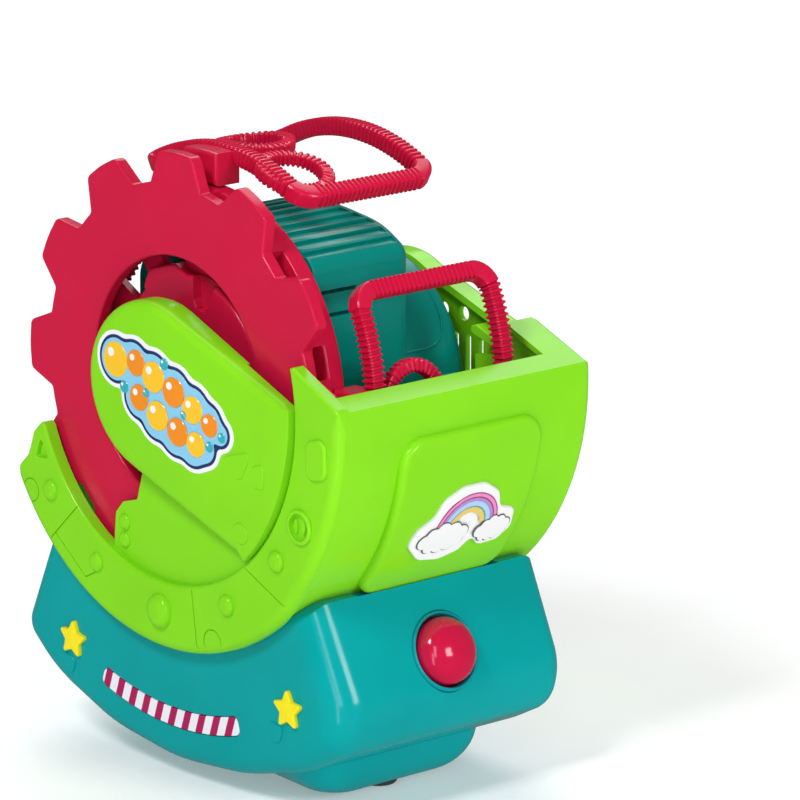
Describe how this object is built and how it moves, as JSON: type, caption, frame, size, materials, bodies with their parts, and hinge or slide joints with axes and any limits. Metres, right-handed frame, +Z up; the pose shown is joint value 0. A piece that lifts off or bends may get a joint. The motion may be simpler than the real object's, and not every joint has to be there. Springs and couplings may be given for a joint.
{
  "type": "bubble machine",
  "caption": "Battery toy bubble machine: a toothed wheel swings ribbed wands through a solution trough past a blower, on a rounded rocker-shaped base with a push button.",
  "frame": {"origin": "centre of the machine's bounding box at floor level, under the feet", "axes": "+Z up; -Y the front, where the push button and the bubble outlet face; +X along the wheel's axle towards the vented side cover, the toothed wheel being on -X"},
  "size_m": [0.1232, 0.1804, 0.2215],
  "materials": {
    "raspberry_plastic": "glossy moulded raspberry plastic",
    "lime_plastic": "glossy moulded lime-green plastic",
    "teal_plastic": "glossy moulded teal plastic",
    "deep_teal_plastic": "glossy darker teal plastic",
    "yellow_plastic": "glossy yellow plastic",
    "fan_plastic": "satin white plastic",
    "gear_plastic": "natural self-lubricating plastic",
    "black_plastic": "satin black plastic",
    "steel": "plated steel",
    "rubber": "soft rubber",
    "board": "green circuit board",
    "arm_film": null,
    "rainbow_film": "printed film, plain rainbow with two clouds",
    "striped_plastic": "magenta and white striped plastic",
    "cell_jacket": "plastic-sleeved dry cell"
  },
  "bodies": {
    "machine": {"drive_arm_cover": "lime_plastic", "drive_arm_plate": "lime_plastic", "trough_tub": "lime_plastic", "left_cover": "lime_plastic", "front_pad": "lime_plastic", "right_cover": "lime_plastic", "cover_stud": "lime_plastic", "base_shell": "teal_plastic", "pedestal": "teal_plastic", "button_bezel": "teal_plastic", "blower_drum": "deep_teal_plastic", "blower_volute": "deep_teal_plastic", "star_front": "yellow_plastic", "star_rear": "yellow_plastic", "front_bush": "gear_plastic", "rear_bush": "gear_plastic", "motor_clamp": "black_plastic", "battery_holder": "black_plastic", "push_switch": "black_plastic", "gear_pin": "steel", "wheel_motor": "steel", "blower_motor": "steel", "arm_screw_1": "steel", "arm_screw_2": "steel", "contact_strip_left": "steel", "contact_strip_right": "steel", "foot_front": "rubber", "foot_left": "rubber", "foot_right": "rubber", "foot_rear_left": "rubber", "foot_rear_right": "rubber", "switch_board": "board", "arm_sticker": "arm_film", "rainbow_sticker": "rainbow_film", "striped_insert": "striped_plastic", "battery_cell_1": "cell_jacket", "battery_cell_2": "cell_jacket", "battery_cell_3": "cell_jacket"},
    "wheel": {"wheel_tooth_plate": "raspberry_plastic", "wheel_rim": "raspberry_plastic", "wheel_hub": "raspberry_plastic", "wheel_axle": "steel", "wheel_gear": "gear_plastic", "wand_front": "raspberry_plastic", "wand_top": "raspberry_plastic", "wand_back": "raspberry_plastic", "wand_bottom": "raspberry_plastic"},
    "reduction": {"reduction_gear": "gear_plastic"},
    "pinion": {"motor_pinion": "gear_plastic"},
    "fan": {"blower_impeller": "fan_plastic", "blower_shaft": "steel"},
    "button": {"push_button": "raspberry_plastic"},
    "door": {"battery_door": "teal_plastic", "door_screw": "steel"}
  },
  "joints": [
    {"name": "wheel_spin", "type": "hinge", "parent": "machine", "child": "wheel", "pos_m": [-0.0464, 0.0037, 0.141], "axis": [1, 0, 0], "continuous": true},
    {"name": "reduction_spin", "type": "hinge", "parent": "machine", "child": "reduction", "pos_m": [-0.0464, -0.01531, 0.14368], "axis": [1, 0, 0], "continuous": true},
    {"name": "pinion_spin", "type": "hinge", "parent": "machine", "child": "pinion", "pos_m": [-0.0464, -0.0223, 0.1258], "axis": [1, 0, 0], "continuous": true},
    {"name": "fan_spin", "type": "hinge", "parent": "machine", "child": "fan", "pos_m": [-0.0464, 0.0037, 0.133], "axis": [1, 0, 0], "continuous": true},
    {"name": "button_press", "type": "slide", "parent": "machine", "child": "button", "axis": [0, 0.915, -0.4035], "range_m": [0, 0.003], "stiffness_N_per_m": 150, "springref_m": -0.004},
    {"name": "door_hinge", "type": "hinge", "parent": "machine", "child": "door", "pos_m": [-0.0464, 0.0867, 0.0461], "axis": [-1, 0, 0], "range_deg": [0, 115]}
  ],
  "couplings": [
    {"joint": "reduction_spin", "follows": "wheel_spin", "ratio": -3},
    {"joint": "pinion_spin", "follows": "wheel_spin", "ratio": 9}
  ]
}
